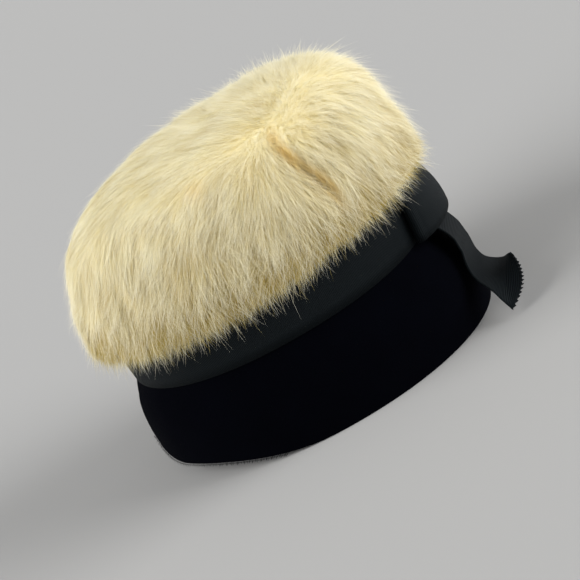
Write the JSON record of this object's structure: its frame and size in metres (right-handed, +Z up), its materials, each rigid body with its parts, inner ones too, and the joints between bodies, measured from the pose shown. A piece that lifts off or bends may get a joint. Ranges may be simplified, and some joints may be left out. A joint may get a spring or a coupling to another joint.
{
  "type": "cloche hat",
  "caption": "Cloche hat with a tall rounded fur crown, a velvet bell brim, and a grosgrain band with a front bow loop and a pinked tail.",
  "frame": {"origin": "floor level under the middle of the bounding box", "axes": "+Z up, -Y towards the hat's front, where the bow is, -X towards the wearer's right"},
  "size_m": [0.2128, 0.2506, 0.1791],
  "materials": {
    "crown_felt": "matt stiffened felt",
    "cream_fur": "soft straight fur with whiter tips",
    "black_velvet": "short dense pile that gives back almost no light",
    "black_grosgrain": "matt ribbon with fine cross ribs"
  },
  "bodies": {
    "root": {"crown_side": "crown_felt", "crown_tip": "crown_felt", "fur_crown": "cream_fur", "brim": "black_velvet", "hat_band": "black_grosgrain", "bow_loop": "black_grosgrain", "bow_tail": "black_grosgrain"}
  },
  "joints": []
}
